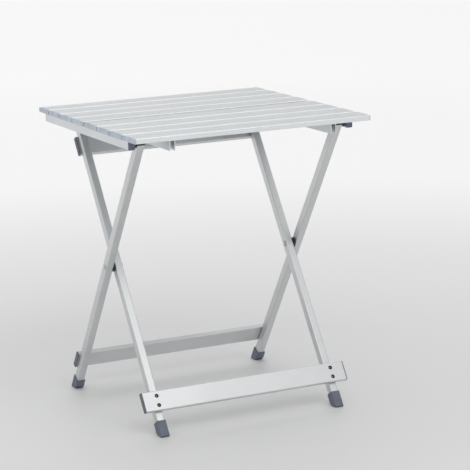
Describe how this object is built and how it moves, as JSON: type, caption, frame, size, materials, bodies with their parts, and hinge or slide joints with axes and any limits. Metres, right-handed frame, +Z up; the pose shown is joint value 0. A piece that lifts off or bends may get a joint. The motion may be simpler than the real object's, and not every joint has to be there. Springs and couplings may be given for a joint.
{
  "type": "folding side table",
  "caption": "Low folding table with a slatted metal top on two crossed tube leg frames that close like scissors while the outer pair slides along the rails.",
  "frame": {"origin": "on the floor, under the middle of the top", "axes": "+Z up, +X along the slats to the right, -Y towards the front"},
  "size_m": [0.5, 0.505, 0.595],
  "materials": {
    "slat_aluminium": "brushed and clear anodised, fine ridges along the slat",
    "leg_aluminium": "satin anodised extrusion",
    "bar_aluminium": "satin anodised flat bar",
    "rail_aluminium": "satin anodised extrusion",
    "slat_cap_plastic": "moulded plastic, fine grain, light blue-grey",
    "slate_plastic": "moulded plastic, fine grain, slate",
    "foot_plastic": "moulded soft plastic, slate, scuffed at the sole",
    "black_nylon": "black moulded nylon",
    "rivet_metal": "plain rivet metal, satin",
    "rivet_dark": "blackened rivet, sunk in the bar",
    "fastener_steel": "zinc plated steel"
  },
  "bodies": {
    "inner_frame": {"front_bar_cap_left": "slate_plastic", "front_bar_cap_right": "slate_plastic", "front_bar_rivets": "rivet_dark", "front_crossbar": "bar_aluminium", "inner_foot_left": "foot_plastic", "inner_foot_right": "foot_plastic", "inner_leg_left": "leg_aluminium", "inner_leg_plug_left": "black_nylon", "inner_leg_plug_right": "black_nylon", "inner_leg_right": "leg_aluminium", "pivot_bolts": "rivet_metal", "pivot_nuts": "fastener_steel", "pivot_spacer_left": "black_nylon", "pivot_spacer_right": "black_nylon", "upper_bar_cap_left": "slate_plastic", "upper_bar_cap_right": "slate_plastic", "upper_bar_rivets": "rivet_dark", "upper_crossbar": "bar_aluminium"},
    "outer_frame": {"guide_bushing_left": "black_nylon", "guide_bushing_right": "black_nylon", "guide_pins": "fastener_steel", "outer_foot_left": "foot_plastic", "outer_foot_right": "foot_plastic", "outer_leg_left": "leg_aluminium", "outer_leg_plug_left": "black_nylon", "outer_leg_plug_right": "black_nylon", "outer_leg_right": "leg_aluminium", "rear_bar_cap_left": "slate_plastic", "rear_bar_cap_right": "slate_plastic", "rear_bar_rivets": "rivet_dark", "rear_crossbar": "bar_aluminium"},
    "tabletop": {"channel_screws": "fastener_steel", "hinge_bolts": "fastener_steel", "hinge_nuts": "fastener_steel", "hinge_spacer_left": "black_nylon", "hinge_spacer_right": "black_nylon", "rail_cap_back_left": "slate_plastic", "rail_cap_back_right": "slate_plastic", "rail_cap_front_left": "slate_plastic", "rail_cap_front_right": "slate_plastic", "rail_screws": "fastener_steel", "side_rail_left": "rail_aluminium", "side_rail_right": "rail_aluminium", "slat_1": "slat_aluminium", "slat_2": "slat_aluminium", "slat_3": "slat_aluminium", "slat_4": "slat_aluminium", "slat_5": "slat_aluminium", "slat_6": "slat_aluminium", "slat_7": "slat_aluminium", "slat_8": "slat_aluminium", "slat_end_caps_left": "slat_cap_plastic", "slat_end_caps_right": "slat_cap_plastic", "top_channel_left": "rail_aluminium", "top_channel_right": "rail_aluminium"}
  },
  "joints": [
    {"name": "leg_fold", "type": "hinge", "parent": "inner_frame", "child": "outer_frame", "pos_m": [0, 0, 0.3], "axis": [-1, 0, 0], "range_deg": [0, 67]},
    {"name": "top_hinge", "type": "hinge", "parent": "inner_frame", "child": "tabletop", "pos_m": [0, 0.1838, 0.5725], "axis": [-1, 0, 0], "range_deg": [0, 33.5]}
  ],
  "couplings": [
    {"joint": "top_hinge", "follows": "leg_fold", "ratio": 0.5}
  ]
}
